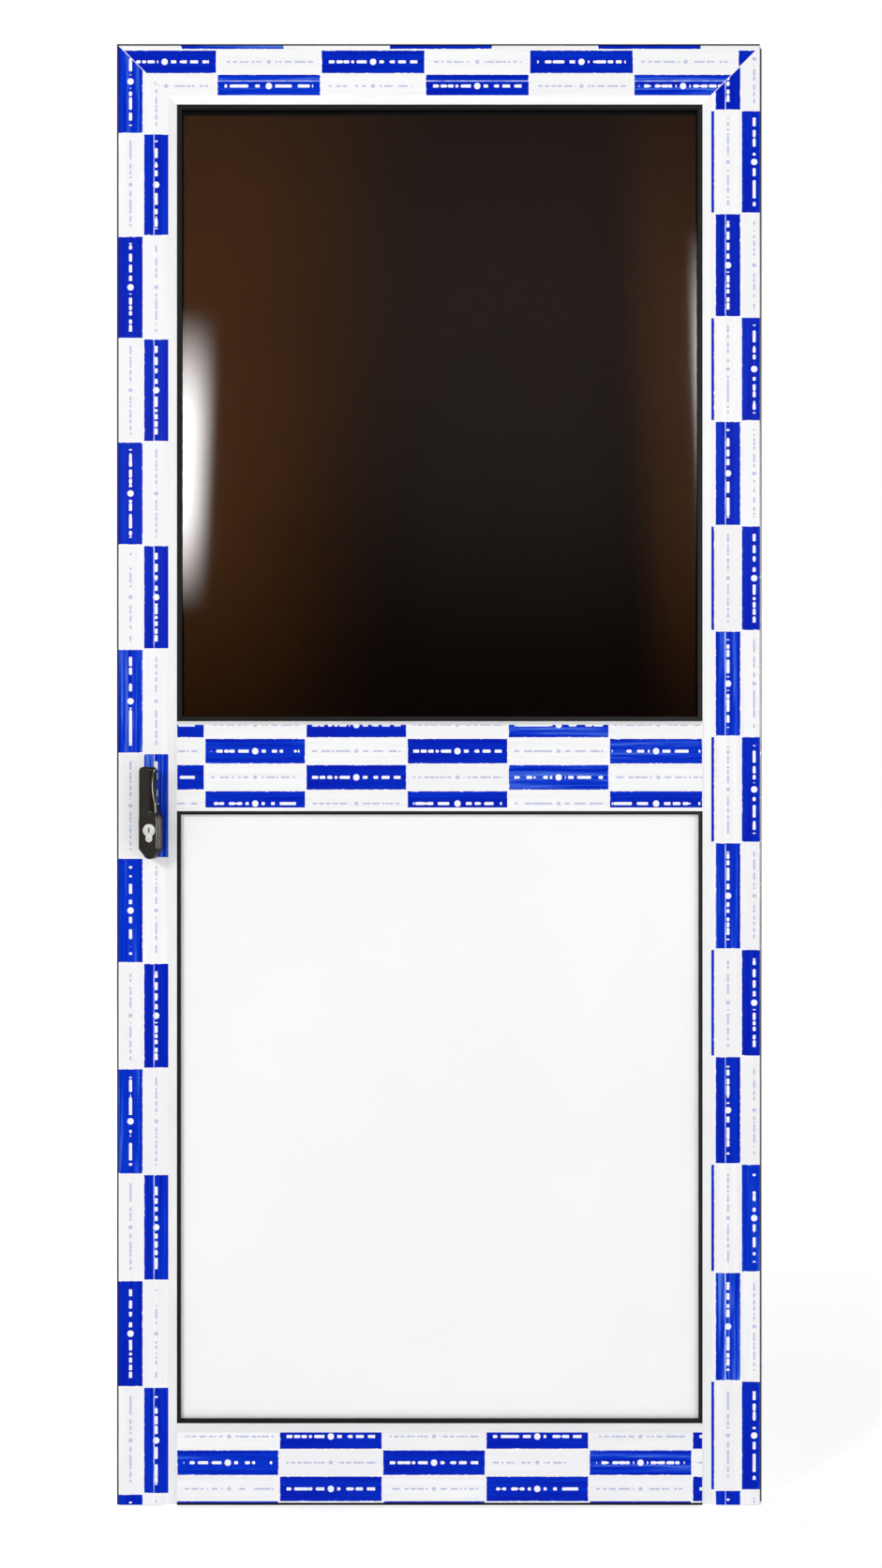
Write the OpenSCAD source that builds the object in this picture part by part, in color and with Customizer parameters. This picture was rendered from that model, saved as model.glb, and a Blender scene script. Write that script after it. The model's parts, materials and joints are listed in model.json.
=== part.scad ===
// Glazed aluminium door: a leaf of hollow white extrusions, still wrapped in its checked
// protective film, hung on a full-height hinge in a slim frame that the leaf's lip covers.
// X runs across the door, Y from the front to the back, Z up from the floor. The origin is
// on the floor, midway between the jambs and in the middle of the leaf's depth.

/* [Door] */
// Width over the frame
door_w = 905; // [800:5:1100]
// Height over the frame
door_h = 2050; // [1950:10:2300]
// Depth of the leaf's profiles
leaf_d = 45; // [42:1:52]
// Face of the stiles and the top rail
face_w = 81.5; // [80:0.5:95]
// Wall of the extrusions
wall = 2; // [1.6:0.1:2.4]

/* [Leaf profile] */
// Width of the lip that covers the frame
lip_w = 24; // [22:0.5:28]
// Lip left off on the hinge side, so that the knuckles show
hinge_trim = 1.5; // [1:0.1:3]
// Thickness of the lip
lip_t = 3.5; // [3:0.1:4]
// Rounding of the lip's outer edge
lip_round = 1.5; // [1:0.1:1.5]
// Width of the hollow box
box_w = 40; // [38:0.5:43]
// Thickness of the glazing flange
flange_t = 5.5; // [5:0.1:6.5]
// Width of the sloped edge beside the glass
bevel_w = 11.5; // [8:0.5:13]
// Fall of the sloped edge
bevel_fall = 3; // [2:0.1:3.4]
// Distance of the fine line from the lip's edge
line_in = 50; // [48:0.5:55]
// Width of the fine line along the profile
line_w = 1.2; // [0.8:0.1:2]
// Depth of the fine line
line_depth = 0.6; // [0.3:0.1:0.9]

/* [Rails] */
// Height of the middle rail's centre line
mid_rail_z = 1038; // [1020:1:1120]
// Face of the middle rail
mid_rail_w = 126; // [110:1:140]
// Sloped edge on the middle rail
mid_bevel_w = 5; // [4:0.5:8]
// Face of the bottom rail
bottom_rail_w = 110; // [95:1:140]
// Floor clearance under the bottom rail
rail_floor_gap = 6; // [5:0.5:10]
// Floor clearance under the stiles
stile_floor_gap = 3; // [2:0.5:4.5]

/* [Frame] */
// Depth of the frame
frame_d = 60; // [55:1:80]
// Frame left showing round the lip
reveal = 2; // [1.5:0.1:2.4]
// Space between the lip and the frame's front
lip_gap = 6.5; // [6.2:0.1:8]
// Space between the leaf's box and the jamb
leaf_gap = 4; // [3.5:0.1:5]
// Space between the leaf's back and the stop
stop_gap = 4; // [3:0.1:5]
// Projection of the stop
stop_w = 8; // [7.5:0.5:8.5]
// Height of the threshold
threshold_h = 20; // [18:1:30]
// Hole for a frame anchor
fixing_d = 8; // [6:0.5:10]
// Lowest anchor hole above the floor
fixing_foot = 250; // [200:10:300]
// Spacing of the two anchors in a pair
fixing_pitch = 600; // [500:10:620]
// Rise from the lower pair of anchors to the upper pair
fixing_rise = 1000; // [900:10:1000]

/* [Glazing] */
// Glass and panel edge hidden by the flange
edge_cover = 12; // [10:0.5:12.5]
// Tinted outer pane
outer_pane_t = 6; // [4:0.5:6.5]
// Space between the panes
pane_space = 9; // [8:0.5:10]
// Clear inner pane
inner_pane_t = 5; // [4:0.5:6]
// Thickness of the front glazing gasket
gasket_t = 4; // [3:0.1:4.5]
// Thickness of the back glazing gasket
back_gasket_t = 3; // [2.5:0.1:4]
// Width of gasket that shows round the glass
glass_gasket_show = 6.5; // [4:0.1:8]
// Width of gasket that shows round the panel
panel_gasket_show = 5; // [3:0.1:6]
// Chamfer of the glazing bead
bead_chamfer = 4; // [2:0.5:6]

/* [Hinge] */
// Diameter of the hinge knuckles
knuckle_d = 6; // [5:0.1:6]
// Diameter of the hinge pin
pin_d = 3; // [2.5:0.1:3.4]
// Length of one knuckle
knuckle_l = 60; // [50:1:90]
// Width of a hinge wing
wing_w = 18; // [14:0.5:19]
// Thickness of a hinge wing
wing_t = 1.5; // [1.2:0.1:1.8]

/* [Lock] */
// Height of the key axis
lock_z = 949; // [940:1:1000]
// Distance of the key axis from the lip's edge
lock_in = 48; // [46.5:0.1:49]
// Diameter of the cylinder's round head
cylinder_d = 17; // [16:0.1:17.5]
// Width of the cylinder's lobe
lobe_w = 9; // [8:0.1:10.5]
// Height of the cylinder's profile
cylinder_h = 25; // [25:0.5:33]
// Diameter of the turning plug
plug_d = 10; // [9:0.1:11.5]
// Reach of the cam
cam_reach = 11.5; // [10.5:0.1:11.7]
// Throw of the dead bolt
bolt_throw = 15; // [12:0.5:16]
// Thickness of the dead bolt
bolt_t = 10; // [8:0.5:10.5]
// Height of the dead bolt
bolt_h = 30; // [24:1:34]

/* [Pull] */
// Width of the pull
pull_w = 31.5; // [29:0.5:32]
// Height of the boss round the key
boss_h = 70; // [64:1:76]
// Boss below the key axis
boss_drop = 41; // [38:1:44]
// Taper of the boss starts below the key axis
shoulder_drop = 26; // [24:0.5:28]
// Radius of the chin under the boss
chin_r = 9; // [7:0.5:10]
// Height of the grip above the boss
grip_h = 59; // [50:1:70]
// Width of the grip at its top
grip_w = 26; // [23:0.5:28]
// Depth of the scoop in the grip's side, at its front
scoop_d = 6; // [4:0.1:7]
// Stand-off of the pull from the leaf
pull_d = 30; // [26:0.5:34]
// Space for the fingers
finger_gap = 17.5; // [16:0.5:18]
// Rounding of the pull's front edge
pull_round = 3.2; // [2:0.1:4.5]

/* [Film] */
// Length of a printed block on the lock stile
lock_block_l = 146.6; // [120:0.1:160]
// Length of a printed block on the hinge stile
hinge_block_l = 148.7; // [120:0.1:160]
// Length of a printed block on the top rail
top_block_l = 146.1; // [120:0.1:160]
// Length of a printed block on the middle rail
mid_block_l = 141.8; // [120:0.1:160]
// Length of a printed block on the bottom rail
bottom_block_l = 144.7; // [120:0.1:160]
// Width of a printed block
block_w = 34.6; // [30:0.1:38]
// White gap between blocks
block_gap = 2.1; // [1:0.1:3]
// Thickness of the white film
film_t = 0.2; // [0.1:0.05:0.4]
// Thickness of the printed layer
print_t = 0.15; // [0.1:0.05:0.3]

/* [Hidden] */
$fn = 64;
overrun = 1;
through = door_w;

white_paint = [0.95, 0.95, 0.955];
black_rubber = [0.05, 0.05, 0.05];
black_metal = [0.12, 0.115, 0.11];
bare_metal = [0.72, 0.73, 0.74];
film_white = [0.97, 0.97, 0.98];
film_blue = [0.0, 0.11, 0.72];

// Planes and edges shared by the frame and the leaf
leaf_front = -leaf_d / 2;
leaf_back = leaf_d / 2;
lip_back = leaf_front + lip_t;
frame_front = lip_back + lip_gap;
frame_back = frame_front + frame_d;
stop_front = leaf_back + stop_gap;
stop_v = stop_front - frame_front;
frame_w = lip_w + reveal - leaf_gap;
jamb_x = door_w / 2;
stop_x = jamb_x - frame_w - stop_w;
leaf_x = jamb_x - reveal;
leaf_top = door_h - reveal;
box_x = leaf_x - lip_w;
pocket_x = box_x - box_w;
flange_x = leaf_x - face_w;
flange_w = face_w - lip_w - box_w;
box_top = leaf_top - lip_w;

// Openings between the flanges, from low to high
mid_low = mid_rail_z - mid_rail_w / 2;
mid_high = mid_rail_z + mid_rail_w / 2;
bottom_high = rail_floor_gap + bottom_rail_w;
glass_low = mid_high;
glass_high = leaf_top - face_w;
panel_low = bottom_high;
panel_high = mid_low;
unit_t = outer_pane_t + pane_space + inner_pane_t;
unit_front = leaf_front + flange_t + gasket_t;
unit_back = unit_front + unit_t;
bead_front = unit_back + back_gasket_t;
bead_depth = leaf_back - bead_front;
bead_wall = 1.4;
gasket_seat = 9;
gasket_nose = 1.7;
spacer_w = 8;
spacer_inset = 3;
block_l = 90;
block_share = 0.3;

// Seals
seal_clear = 0.3;
seal_nose = 2.6;
seal_fit = 0.1;
lip_gasket_w = 10;
stop_gasket_w = 6;
stop_gasket_in = 1;
sweep_t = 6;
sweep_set = 1.2;
sweep_clear = 1.5;
sweep_shares = [0.32, 0.68, 0.55, 0.7];
threshold_nose = 8;
threshold_back_share = 0.55;
slope_share = 1.2;
cleat_leg = 70;
cleat_clear = 0.2;

// Hinge
pin_clear = 0.05;
knuckle_play = 0.4;
hinge_margin = 3;
hinge_x = jamb_x - knuckle_d / 2;
hinge_y = (lip_back + frame_front) / 2;
hinge_low = stile_floor_gap + hinge_margin;
hinge_l = leaf_top - hinge_low - hinge_margin;
knuckle_n = 2 * floor(hinge_l / knuckle_l / 2) + 1;
knuckle_pitch = hinge_l / knuckle_n;
wing_edge = hinge_x - knuckle_d / 2 - knuckle_play;

// Lock
lock_x = lock_in - leaf_x;
face_t = 3;
faceplate_w = 20;
faceplate_over = 12;
fit_clear = 0.3;
case_t = 14;
case_wall = 1.5;
case_drop = 80;
case_rise = 64;
case_back = 1;
web_clear = 2;
web_front = leaf_d / 2 + case_t / 2 + web_clear;
faceplate_low = lock_z - case_drop - faceplate_over;
faceplate_high = lock_z + case_rise + faceplate_over;
bolt_rise = 17;
bolt_l = 2 * bolt_throw;
cam_t = 9.4;
cam_clear = 0.5;
cam_tooth_w = 5;
plug_clear = 0.05;
cylinder_proud = 2;
keyway_w = 2.2;
keyway_h = 7;
keyway_depth = 22;
strike_t = 2;
strike_w = 22;
strike_over = 20;
strike_clear = 0.6;
film_front = leaf_front - film_t - print_t;
pull_front = leaf_front - pull_d;
cylinder_front = pull_front - cylinder_proud;
pad_t = 1.5;
pad_inset = 1.8;
pull_draft = 0.6;
grip_corner = 6.5;
grip_set = 1;
slice_t = 0.2;
round_shares = [0.3, 0.4, 1];
scoop_share = 0.55;
scoop_lean = 25;

// Film
film_marks = 13;
lock_mark = 18.4;
lock_ease = 0.27;
hinge_mark = 23.7;
hinge_ease = 0.36;
top_mark = -312.6;
top_edge_mark = -363.6;
mid_mark = -329.6;
bottom_mark = -225;
lock_first = 34;
hinge_first = 27;
top_first = 5.2;
top_block_w = 31.8;
mid_first = 17.6;
bottom_first = 23;
hinge_film_w = 69.7;
film_w = face_w - bevel_w;
rail_film_end = 1;

// A slab that carries an outline drawn in X and Z from y0 back to y0 + t
module slab(y0, t) {
    translate([0, y0 + t, 0])
        rotate([90, 0, 0])
            linear_extrude(t)
                children();
}

// A block between two opposite corners
module block(low, high) {
    translate(low) cube(high - low);
}

// A rectangular ring in X and Z, from outer edges to inner edges
module ring_outline(x_out, low_out, high_out, inset) {
    difference() {
        translate([-x_out, low_out]) square([2 * x_out, high_out - low_out]);
        translate([inset - x_out, low_out + inset])
            square([2 * (x_out - inset), high_out - low_out - 2 * inset]);
    }
}

// Left upright of a mitred frame: its outline in X and Z
module mitred_post_outline(x, low, high, w, run) {
    polygon([
        [-x - run, low], [-x - run, high + run],
        [w + run - x, high - w - run], [w + run - x, low]
    ]);
}

// Top member of a mitred frame: its outline in X and Z
module mitred_head_outline(x, high, w, run) {
    polygon([
        [-x - run, high + run], [x + run, high + run], [x - w - run, high - w - run],
        [w + run - x, high - w - run]
    ]);
}

// Section of the stiles and the top rail, from the lip's edge inwards, with the lip cut back by a
// trim and a web that parts the chamber of the lock from the one behind it
module leaf_section(trim) {
    difference() {
        union() {
            translate([trim + lip_round, 0]) square([lip_w - trim, lip_t]);
            translate([trim, lip_round]) square([lip_w + wall - trim, lip_t - lip_round]);
            translate([trim + lip_round, lip_round]) circle(lip_round);
            translate([lip_w, 0]) square([box_w, leaf_d]);
            polygon([
                [lip_w + box_w - wall, 0], [face_w - bevel_w, 0], [face_w, bevel_fall],
                [face_w, flange_t], [lip_w + box_w - wall, flange_t]
            ]);
        }
        translate([lip_w + wall, wall]) square([box_w - 2 * wall, web_front - wall]);
        translate([lip_w + wall, web_front + wall])
            square([box_w - 2 * wall, leaf_d - web_front - 2 * wall]);
        translate([line_in - line_w / 2, -overrun]) square([line_w, line_depth + overrun]);
    }
}

module leaf_post(trim) {
    intersection() {
        translate([-leaf_x, leaf_front, stile_floor_gap])
            linear_extrude(leaf_top - stile_floor_gap)
                leaf_section(trim);
        slab(-through / 2, through)
            mitred_post_outline(leaf_x, 0, leaf_top, face_w, overrun);
    }
}

// Outline of the lock cylinder, grown by a clearance
module cylinder_outline(grow) {
    circle(cylinder_d / 2 + grow);
    translate([-lobe_w / 2 - grow, cylinder_d / 2 + lobe_w / 2 - cylinder_h])
        square([lobe_w + 2 * grow, cylinder_h - cylinder_d / 2 - lobe_w / 2]);
    translate([0, cylinder_d / 2 + lobe_w / 2 - cylinder_h])
        circle(lobe_w / 2 + grow);
}

module cylinder_prism(y0, t, grow) {
    translate([lock_x, 0, lock_z])
        slab(y0, t)
            cylinder_outline(grow);
}

// A flat bar across X with round ends
module round_bar(x0, x1, w, low, high) {
    block([x0, -w / 2, low + w / 2], [x1, w / 2, high - w / 2]);
    for (z = [low + w / 2, high - w / 2])
        translate([x0, 0, z])
            rotate([0, 90, 0])
                cylinder(d = w, h = x1 - x0);
}

module lock_stile() {
    color(white_paint)
        difference() {
            leaf_post(0);
            round_bar(-box_x - overrun, wall + overrun - box_x, faceplate_w + 2 * fit_clear,
                      faceplate_low - fit_clear, faceplate_high + fit_clear);
            cylinder_prism(leaf_front - overrun, leaf_d + 2 * overrun, fit_clear);
        }
}

module hinge_stile() {
    color(white_paint) mirror([1, 0, 0]) leaf_post(hinge_trim);
}

module top_rail() {
    color(white_paint)
        intersection() {
            translate([-leaf_x, leaf_front, leaf_top])
                rotate([0, 90, 0])
                    linear_extrude(2 * leaf_x - hinge_trim)
                        leaf_section(0);
            slab(-through / 2, through)
                mitred_head_outline(leaf_x, leaf_top, face_w, overrun);
        }
}

// A rail that butts between the stiles: its face ends at their flanges, its box behind them
module butt_rail(low, high, low_flange, low_bevel, high_bevel) {
    box_low = low + low_flange;
    box_high = high - flange_w;
    difference() {
        union() {
            translate([flange_x, leaf_front, 0])
                rotate([0, -90, 0])
                    linear_extrude(2 * flange_x)
                        polygon([
                            [low, flange_t], [low, low_bevel > 0 ? bevel_fall : 0], [low + low_bevel, 0],
                            [high - high_bevel, 0], [high, bevel_fall], [high, flange_t]
                        ]);
            block([-flange_x, leaf_front, box_low], [flange_x, leaf_back, box_high]);
            block([-pocket_x, leaf_front + flange_t, box_low], [pocket_x, leaf_back, box_high]);
        }
        block([-pocket_x - overrun, leaf_front + flange_t + wall, box_low + wall],
              [pocket_x + overrun, leaf_back - wall, box_high - wall]);
    }
}

module middle_rail() {
    color(white_paint) butt_rail(mid_low, mid_high, flange_w, mid_bevel_w, mid_bevel_w);
}

module bottom_rail() {
    color(white_paint) butt_rail(rail_floor_gap, bottom_high, 0, 0, bevel_w);
}

// Section of the frame, from its outer face inwards, with a chamber behind the stop
module frame_section() {
    difference() {
        polygon([
            [0, 0], [frame_w, 0], [frame_w, stop_v], [frame_w + stop_w, stop_v],
            [frame_w + stop_w, frame_d], [0, frame_d]
        ]);
        translate([wall, wall]) square([frame_w - 2 * wall, stop_v - wall]);
        translate([wall, stop_v + wall])
            square([frame_w + stop_w - 2 * wall, frame_d - stop_v - 2 * wall]);
    }
}

module jamb() {
    difference() {
        intersection() {
            translate([-jamb_x, frame_front, 0]) linear_extrude(door_h) frame_section();
            slab(-through / 2, through)
                mitred_post_outline(jamb_x, 0, door_h, frame_w + stop_w, overrun);
        }
        for (rise = [0, fixing_rise], step = [0, fixing_pitch])
            translate([-jamb_x - overrun, frame_front + stop_v / 2, fixing_foot + rise + step])
                rotate([0, 90, 0])
                    cylinder(d = fixing_d, h = frame_w + 2 * overrun);
    }
}

// The bolt's way through the strike and the jamb's wall
module bolt_way(grow, x0, x1) {
    block([x0, -bolt_t / 2 - grow, lock_z + bolt_rise - grow],
          [x1, bolt_t / 2 + grow, lock_z + bolt_rise + bolt_h + grow]);
}

module lock_jamb() {
    color(white_paint)
        difference() {
            jamb();
            bolt_way(2 * strike_clear, frame_w - wall - overrun - jamb_x, frame_w + overrun - jamb_x);
        }
}

module hinge_jamb() {
    color(white_paint) mirror([1, 0, 0]) jamb();
}

module frame_head() {
    color(white_paint)
        intersection() {
            translate([-jamb_x, frame_front, door_h])
                rotate([0, 90, 0])
                    linear_extrude(2 * jamb_x)
                        frame_section();
            slab(-through / 2, through)
                mitred_head_outline(jamb_x, door_h, frame_w + stop_w, overrun);
        }
}

// Section of the threshold: upright at the leaf, sloped down towards the back, hollow inside
module threshold_section() {
    depth = frame_back - stop_front;
    back_h = threshold_h * threshold_back_share;
    difference() {
        polygon([[0, 0], [depth, 0], [depth, back_h], [threshold_nose, threshold_h], [0, threshold_h]]);
        polygon([
            [wall, wall], [depth - wall, wall], [depth - wall, back_h - wall * slope_share],
            [threshold_nose, threshold_h - wall * slope_share], [wall, threshold_h - wall * slope_share]
        ]);
    }
}

module threshold() {
    color(bare_metal)
        translate([-stop_x, stop_front, 0])
            rotate([90, 0, 90])
                linear_extrude(2 * stop_x)
                    threshold_section();
}

// Angle that ties a mitred corner, drawn at the left corner
module corner_cleat(x_out, x_in, high, y0, y1) {
    w = x_in - x_out;
    slab(y0, y1 - y0)
        polygon([
            [x_out, high], [x_out, high - cleat_leg], [x_in, high - cleat_leg], [x_in, high - w],
            [x_out + cleat_leg, high - w], [x_out + cleat_leg, high]
        ]);
}

module frame_cleat() {
    inset = wall + cleat_clear;
    corner_cleat(inset - jamb_x, frame_w - inset - jamb_x, door_h - inset,
                 frame_front + inset, frame_front + stop_v - cleat_clear);
}

module frame_cleat_lock() {
    color(bare_metal) frame_cleat();
}

module frame_cleat_hinge() {
    color(bare_metal) mirror([1, 0, 0]) frame_cleat();
}

module leaf_cleat() {
    inset = wall + cleat_clear;
    corner_cleat(inset - box_x, -pocket_x - inset, box_top - inset,
                 leaf_front + inset, leaf_front + web_front - cleat_clear);
}

module leaf_cleat_lock() {
    color(bare_metal) leaf_cleat();
}

module leaf_cleat_hinge() {
    color(bare_metal) mirror([1, 0, 0]) leaf_cleat();
}

// Seal on the stop, just clear of the closed leaf
module stop_gasket() {
    color(black_rubber)
        slab(leaf_back + seal_clear, stop_gap - seal_clear)
            ring_outline(stop_x + stop_gasket_in + stop_gasket_w,
                         threshold_h - stop_gasket_in - stop_gasket_w,
                         door_h - frame_w - stop_w + stop_gasket_in + stop_gasket_w, stop_gasket_w);
}

// Outline of the lip's seal: up the lock side and along the top to an end near the hinge
module lip_gasket_outline(w, end) {
    polygon([
        [-jamb_x, stile_floor_gap], [-jamb_x, door_h], [end, door_h],
        [end, door_h - w], [w - jamb_x, door_h - w], [w - jamb_x, stile_floor_gap]
    ]);
}

// Seal behind the lip, with a nose that shows beside the lip's edge
module lip_gasket() {
    color(black_rubber) {
        slab(lip_back, lip_gap - seal_clear) lip_gasket_outline(lip_gasket_w, wing_edge - wing_w - seal_fit);
        slab(lip_back - seal_nose, seal_nose) lip_gasket_outline(reveal - seal_fit, leaf_x - hinge_trim);
    }
}

// Floor sweep: a body under the rail and a fin that hangs from it
module bottom_sweep() {
    sweep_h = rail_floor_gap - sweep_clear;
    fin_front = sweep_t * sweep_shares[0];
    fin_back = sweep_t * sweep_shares[1];
    fin_top = sweep_h * sweep_shares[2];
    body_low = sweep_h * sweep_shares[3];
    color(black_rubber)
        translate([-flange_x, leaf_front + sweep_set, sweep_clear])
            rotate([90, 0, 90])
                linear_extrude(2 * flange_x)
                    polygon([
                        [0, sweep_h], [0, body_low], [fin_front, fin_top], [fin_front, 0], [fin_back, 0],
                        [fin_back, fin_top], [sweep_t, body_low], [sweep_t, sweep_h]
                    ]);
}

// A pane or panel behind the flanges of one opening
module infill(low, high, front, back) {
    block([-flange_x - edge_cover, front, low - edge_cover],
          [flange_x + edge_cover, back, high + edge_cover]);
}

module outer_pane() {
    color([0.16, 0.12, 0.09, 0.9]) infill(glass_low, glass_high, unit_front, unit_front + outer_pane_t);
}

module inner_pane() {
    color([0.75, 0.82, 0.8, 0.4]) infill(glass_low, glass_high, unit_back - inner_pane_t, unit_back);
}

module spacer_bar() {
    color(bare_metal)
        slab(unit_front + outer_pane_t, pane_space)
            ring_outline(flange_x + edge_cover - spacer_inset, glass_low - edge_cover + spacer_inset,
                         glass_high + edge_cover - spacer_inset, spacer_w);
}

module infill_panel() {
    color(white_paint) infill(panel_low, panel_high, unit_front, unit_back);
}

// Plastic blocks that carry the glass and the panel at their lower edges
module setting_blocks() {
    color(black_metal)
        for (low = [glass_low, panel_low], side = [-1, 1])
            translate([side * block_share * door_w, 0, 0])
                block([-block_l / 2, unit_front, low - flange_w], [block_l / 2, unit_back, low - edge_cover]);
}

// Front seal: a pad behind the flange and a nose that shows beside the sloped edge
module front_gasket(low, high, show) {
    slab(leaf_front + flange_t, gasket_t)
        ring_outline(flange_x + gasket_seat, low - gasket_seat, high + gasket_seat,
                     gasket_seat + show);
    slab(leaf_front + flange_t - gasket_nose, gasket_nose)
        ring_outline(flange_x, low, high, show);
}

module back_gasket(low, high, show) {
    slab(unit_back, back_gasket_t)
        ring_outline(flange_x + gasket_seat, low - gasket_seat, high + gasket_seat,
                     gasket_seat + show);
}

module glass_front_gasket() {
    color(black_rubber) front_gasket(glass_low, glass_high, glass_gasket_show);
}

module glass_back_gasket() {
    color(black_rubber) back_gasket(glass_low, glass_high, glass_gasket_show);
}

module panel_front_gasket() {
    color(black_rubber) front_gasket(panel_low, panel_high, panel_gasket_show);
}

module panel_back_gasket() {
    color(black_rubber) back_gasket(panel_low, panel_high, panel_gasket_show);
}

// Section of a snap-in bead, open towards the profile that holds it
module bead_section() {
    difference() {
        polygon([
            [0, 0], [flange_w, 0], [flange_w, bead_depth - bead_chamfer],
            [flange_w - bead_chamfer, bead_depth], [0, bead_depth]
        ]);
        translate([-overrun, bead_wall])
            square([flange_w - bead_chamfer - bead_wall + overrun, bead_depth - 2 * bead_wall]);
    }
}

// Left bead of an opening, mitred at both ends
module upright_bead(low, high) {
    intersection() {
        translate([-pocket_x, bead_front, low - flange_w])
            linear_extrude(high - low + 2 * flange_w)
                bead_section();
        slab(bead_front - overrun, bead_depth + 2 * overrun)
            polygon([
                [-pocket_x - overrun, low - flange_w - overrun],
                [-pocket_x - overrun, high + flange_w + overrun],
                [overrun - flange_x, high - overrun], [overrun - flange_x, low + overrun]
            ]);
    }
}

// Top bead of an opening, mitred at both ends
module level_bead(high) {
    intersection() {
        translate([-pocket_x, bead_front, high + flange_w])
            rotate([0, 90, 0])
                linear_extrude(2 * pocket_x)
                    bead_section();
        slab(bead_front - overrun, bead_depth + 2 * overrun)
            polygon([
                [-pocket_x - overrun, high + flange_w + overrun],
                [pocket_x + overrun, high + flange_w + overrun],
                [flange_x - overrun, high - overrun], [overrun - flange_x, high - overrun]
            ]);
    }
}

module low_bead(low) {
    translate([0, 0, low])
        mirror([0, 0, 1])
            level_bead(0);
}

module glass_bead_left() {
    color(white_paint) upright_bead(glass_low, glass_high);
}

module glass_bead_right() {
    color(white_paint) mirror([1, 0, 0]) upright_bead(glass_low, glass_high);
}

module glass_bead_top() {
    color(white_paint) level_bead(glass_high);
}

module glass_bead_bottom() {
    color(white_paint) low_bead(glass_low);
}

module panel_bead_left() {
    color(white_paint) upright_bead(panel_low, panel_high);
}

module panel_bead_right() {
    color(white_paint) mirror([1, 0, 0]) upright_bead(panel_low, panel_high);
}

module panel_bead_top() {
    color(white_paint) level_bead(panel_high);
}

module panel_bead_bottom() {
    color(white_paint) low_bead(panel_low);
}

// One wing of the full-height hinge, with every second knuckle
module hinge_wing(plate_y, first) {
    difference() {
        union() {
            block([wing_edge - wing_w, plate_y, hinge_low],
                  [wing_edge, plate_y + wing_t, hinge_low + hinge_l]);
            for (k = [first : 2 : knuckle_n - 1])
                translate([0, 0, hinge_low + k * knuckle_pitch + knuckle_play / 2]) {
                    translate([hinge_x, hinge_y, 0])
                        cylinder(d = knuckle_d, h = knuckle_pitch - knuckle_play);
                    translate([wing_edge - wing_t, plate_y, 0])
                        cube([hinge_x - wing_edge + wing_t, wing_t, knuckle_pitch - knuckle_play]);
                }
        }
        translate([hinge_x, hinge_y, hinge_low - overrun])
            cylinder(d = pin_d + 2 * pin_clear, h = hinge_l + 2 * overrun);
    }
}

module hinge_frame_wing() {
    color(black_metal) hinge_wing(frame_front - wing_t, 0);
}

module hinge_leaf_wing() {
    color(black_metal) hinge_wing(lip_back, 1);
}

module hinge_pin() {
    color(bare_metal)
        translate([hinge_x, hinge_y, hinge_low])
            cylinder(d = pin_d, h = hinge_l);
}

// Lock: a case open at its back, a faceplate let into the stile, and a bolt above the key
module lock_case() {
    front = face_t - box_x;
    back = -pocket_x - wall - case_back;
    color(bare_metal)
        difference() {
            block([front, -case_t / 2, lock_z - case_drop], [back, case_t / 2, lock_z + case_rise]);
            block([front + case_wall, case_wall - case_t / 2, lock_z - case_drop + case_wall],
                  [back + overrun, case_t / 2 - case_wall, lock_z + case_rise - case_wall]);
            bolt_way(fit_clear, front - overrun, front + case_wall + overrun);
            cylinder_prism(-case_t, 2 * case_t, fit_clear);
        }
}

module lock_faceplate() {
    color(bare_metal)
        difference() {
            round_bar(-box_x, face_t - box_x, faceplate_w, faceplate_low, faceplate_high);
            bolt_way(fit_clear, -box_x - overrun, face_t + overrun - box_x);
        }
}

module dead_bolt() {
    color(bare_metal) bolt_way(0, fit_clear - box_x, fit_clear + bolt_l - box_x);
}

module strike_plate() {
    color(bare_metal)
        difference() {
            round_bar(frame_w - jamb_x, frame_w + strike_t - jamb_x, strike_w,
                      lock_z + bolt_rise - strike_over, lock_z + bolt_rise + bolt_h + strike_over);
            bolt_way(strike_clear, frame_w - overrun - jamb_x, frame_w + strike_t + overrun - jamb_x);
        }
}

// A round bar along Y on the key axis
module key_bar(d, y0, y1) {
    translate([lock_x, y1, lock_z])
        rotate([90, 0, 0])
            cylinder(d = d, h = y1 - y0);
}

module cylinder_body() {
    color(bare_metal)
        difference() {
            cylinder_prism(cylinder_front, -2 * cylinder_front, 0);
            key_bar(plug_d + 2 * plug_clear, cylinder_front - overrun, overrun - cylinder_front);
            key_bar(2 * (cam_reach + cam_clear), -cam_t / 2 - cam_clear, cam_t / 2 + cam_clear);
        }
}

// One plug with its keyway, drawn on the front half
module plug() {
    difference() {
        key_bar(plug_d, cylinder_front, -cam_t / 2);
        translate([lock_x - keyway_w / 2, cylinder_front - overrun, lock_z - keyway_h / 2])
            cube([keyway_w, keyway_depth + overrun, keyway_h]);
    }
}

module outer_plug() {
    color(bare_metal) plug();
}

module inner_plug() {
    color(bare_metal) mirror([0, 1, 0]) plug();
}

module cam() {
    color(bare_metal)
        intersection() {
            union() {
                key_bar(cylinder_d - 2 * cam_clear, -cam_t / 2, cam_t / 2);
                block([lock_x - cam_tooth_w / 2, -cam_t / 2, lock_z],
                      [lock_x + cam_tooth_w / 2, cam_t / 2, lock_z + cam_reach]);
            }
            key_bar(2 * cam_reach, -cam_t / 2, cam_t / 2);
        }
}

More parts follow.
